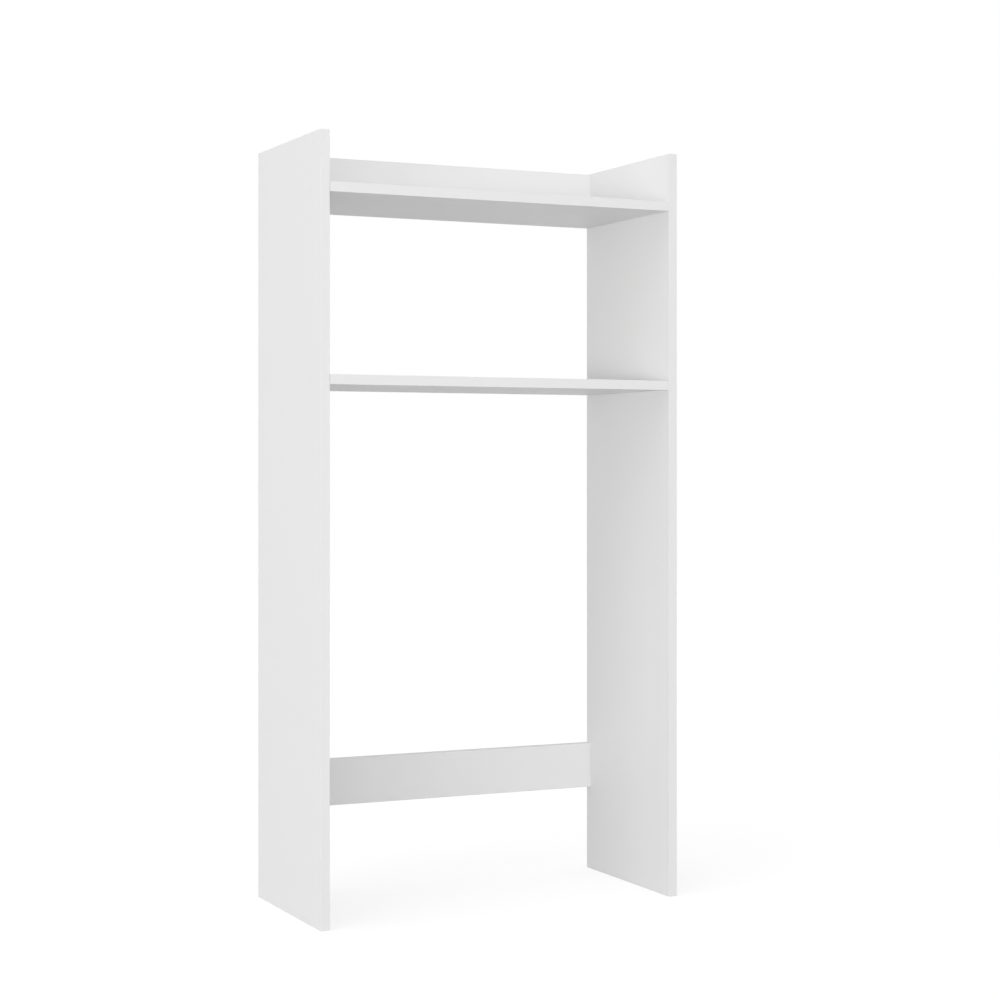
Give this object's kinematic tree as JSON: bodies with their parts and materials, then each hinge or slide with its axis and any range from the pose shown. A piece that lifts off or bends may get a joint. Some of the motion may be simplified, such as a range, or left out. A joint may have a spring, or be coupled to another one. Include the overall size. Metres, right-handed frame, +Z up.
{
  "type": "washing machine cabinet",
  "caption": "Open white cabinet of tall side panels, shelves and back rails that stands astride a floor-standing appliance.",
  "frame": {"origin": "on the floor, midway between the side panels and midway between their front and back edges", "axes": "+X to the right seen from the front, +Y to the back, +Z up; the open front faces -Y"},
  "size_m": [0.65, 0.3, 1.27],
  "materials": {
    "white_melamine_board": "satin white melamine on particle board",
    "white_edge_band": "satin white plastic strip",
    "white_cap": "satin white moulded plastic",
    "zinc_plated_steel": "bright zinc plating",
    "beech": "raw beech"
  },
  "bodies": {
    "root": {"cap_left_lower_rail": "white_cap", "cap_left_lower_shelf_front": "white_cap", "cap_left_top_shelf_front": "white_cap", "cap_left_upper_rail_high": "white_cap", "cap_left_upper_rail_low": "white_cap", "cap_right_lower_rail": "white_cap", "cap_right_lower_shelf_front": "white_cap", "cap_right_top_shelf_front": "white_cap", "cap_right_upper_rail_high": "white_cap", "cap_right_upper_rail_low": "white_cap", "dowel_left_lower_rail": "beech", "dowel_left_lower_shelf": "beech", "dowel_left_top_shelf": "beech", "dowel_right_lower_rail": "beech", "dowel_right_lower_shelf": "beech", "dowel_right_top_shelf": "beech", "left_side_back_band": "white_edge_band", "left_side_bottom_band": "white_edge_band", "left_side_front_band": "white_edge_band", "left_side_panel": "white_melamine_board", "left_side_top_band": "white_edge_band", "lower_back_rail": "white_melamine_board", "lower_rail_bottom_band": "white_edge_band", "lower_rail_top_band": "white_edge_band", "lower_shelf": "white_melamine_board", "lower_shelf_back_band": "white_edge_band", "lower_shelf_front_band": "white_edge_band", "right_side_back_band": "white_edge_band", "right_side_bottom_band": "white_edge_band", "right_side_front_band": "white_edge_band", "right_side_panel": "white_melamine_board", "right_side_top_band": "white_edge_band", "screw_left_lower_rail": "zinc_plated_steel", "screw_left_lower_shelf_front": "zinc_plated_steel", "screw_left_top_shelf_front": "zinc_plated_steel", "screw_left_upper_rail_high": "zinc_plated_steel", "screw_left_upper_rail_low": "zinc_plated_steel", "screw_right_lower_rail": "zinc_plated_steel", "screw_right_lower_shelf_front": "zinc_plated_steel", "screw_right_top_shelf_front": "zinc_plated_steel", "screw_right_upper_rail_high": "zinc_plated_steel", "screw_right_upper_rail_low": "zinc_plated_steel", "top_shelf": "white_melamine_board", "top_shelf_back_band": "white_edge_band", "top_shelf_front_band": "white_edge_band", "upper_back_rail": "white_melamine_board", "upper_rail_top_band": "white_edge_band"}
  },
  "joints": []
}
